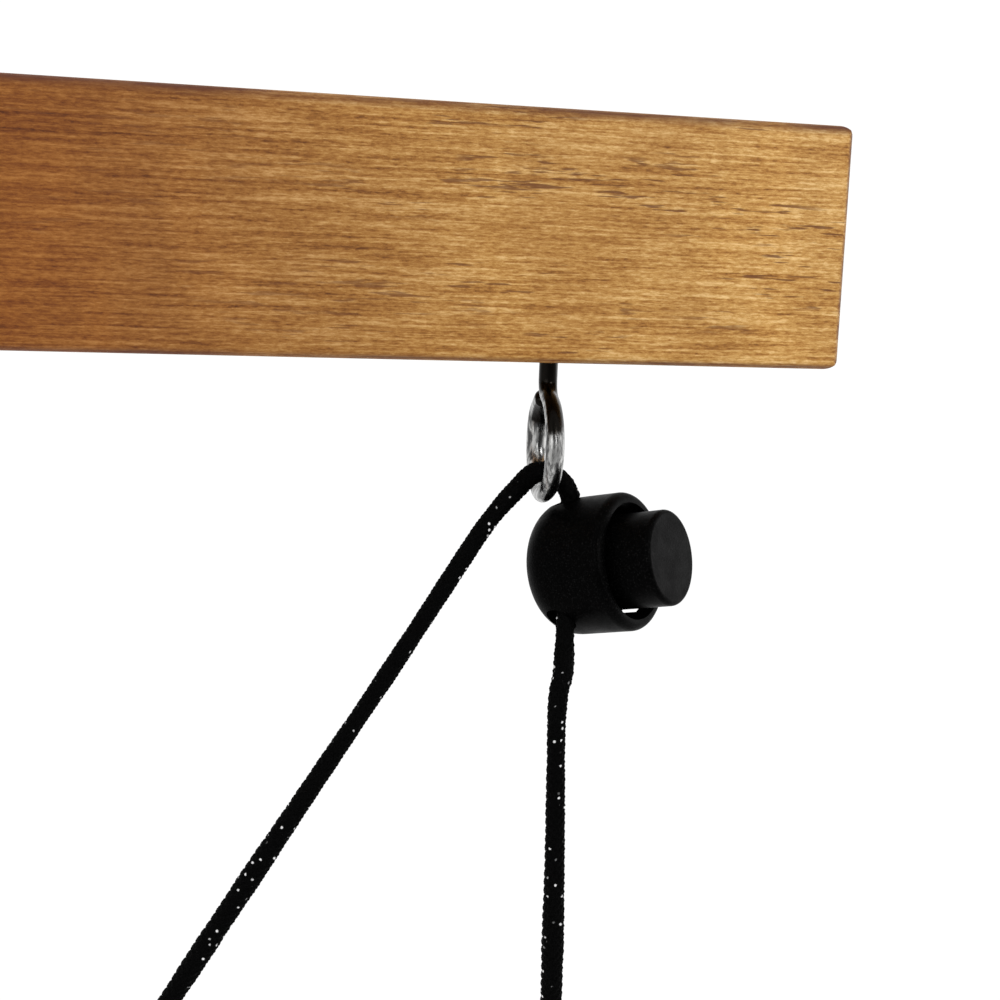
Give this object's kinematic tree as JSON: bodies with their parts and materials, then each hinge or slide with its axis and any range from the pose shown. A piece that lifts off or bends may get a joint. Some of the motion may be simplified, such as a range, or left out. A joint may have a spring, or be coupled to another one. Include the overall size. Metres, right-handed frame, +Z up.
{
  "type": "ceiling pulley rack",
  "caption": "Wooden ceiling rail whose end eyes guide two braided cords, each gripped by a push-button cord lock, to raise and lower a wooden hanging bar.",
  "frame": {"origin": "centre of the rail's top face, which lies on the ceiling", "axes": "+X along the rail, +Z up through the ceiling face, -Y the front where the lock buttons point"},
  "size_m": [0.6, 0.0273, 0.2466],
  "materials": {
    "stained_wood": "golden brown stain under a thin satin varnish, fine straight grain",
    "bright_metal": "bright nickel plate on bent steel wire",
    "lock_plastic": "black moulded plastic with a fine matte texture",
    "spring_steel": "plain spring steel wire",
    "braided_cord": "black braided polyester cord with a slight sheen"
  },
  "bodies": {
    "root": {"ceiling_rail": "stained_wood", "eye_left": "bright_metal", "eye_right": "bright_metal", "lock_cord_left": "braided_cord", "lock_cord_right": "braided_cord"},
    "lines": {"load_line_left": "braided_cord", "load_line_right": "braided_cord"},
    "bar": {"hanging_bar": "stained_wood", "bar_eye_left": "bright_metal", "bar_eye_right": "bright_metal", "line_knot_left": "braided_cord", "line_knot_right": "braided_cord"},
    "lock_left": {"lock_body_left": "lock_plastic", "lock_spring_left": "spring_steel"},
    "button_left": {"lock_button_left": "lock_plastic"},
    "tail_end_left": {"tail_line_left": "braided_cord", "tail_knot_left": "braided_cord"},
    "lock_right": {"lock_body_right": "lock_plastic", "lock_spring_right": "spring_steel"},
    "button_right": {"lock_button_right": "lock_plastic"},
    "tail_end_right": {"tail_line_right": "braided_cord", "tail_knot_right": "braided_cord"}
  },
  "joints": [
    {"name": "bar_swing", "type": "hinge", "parent": "root", "child": "lines", "pos_m": [0, 0, -0.0559], "axis": [1, 0, 0], "range_deg": [-30, 30]},
    {"name": "hoist", "type": "slide", "parent": "lines", "child": "bar", "axis": [0, 0, 1], "range_m": [0, 0.08], "deforming": ["load_line_left", "load_line_right"]},
    {"name": "tail_run_left", "type": "slide", "parent": "root", "child": "tail_end_left", "axis": [0, 0, -1], "range_m": [0, 0.056], "deforming": ["tail_line_left"]},
    {"name": "lock_slide_left", "type": "slide", "parent": "root", "child": "lock_left", "axis": [0.1047, -0.3839, -0.9174], "range_m": [0, 0.003]},
    {"name": "button_press_left", "type": "slide", "parent": "lock_left", "child": "button_left", "axis": [0.6782, 0.7023, -0.2164], "range_m": [0, 0.0017], "stiffness_N_per_m": 1000, "springref_m": -0.003, "deforming": ["lock_spring_left"]},
    {"name": "tail_run_right", "type": "slide", "parent": "root", "child": "tail_end_right", "axis": [0, 0, -1], "range_m": [0, 0.056], "deforming": ["tail_line_right"]},
    {"name": "lock_slide_right", "type": "slide", "parent": "root", "child": "lock_right", "axis": [-0.1047, -0.3839, -0.9174], "range_m": [0, 0.003]},
    {"name": "button_press_right", "type": "slide", "parent": "lock_right", "child": "button_right", "axis": [-0.6782, 0.7023, -0.2164], "range_m": [0, 0.0017], "stiffness_N_per_m": 1000, "springref_m": -0.003, "deforming": ["lock_spring_right"]}
  ],
  "couplings": [
    {"joint": "tail_run_left", "follows": "hoist", "ratio": 0.69},
    {"joint": "tail_run_right", "follows": "hoist", "ratio": 0.69}
  ]
}
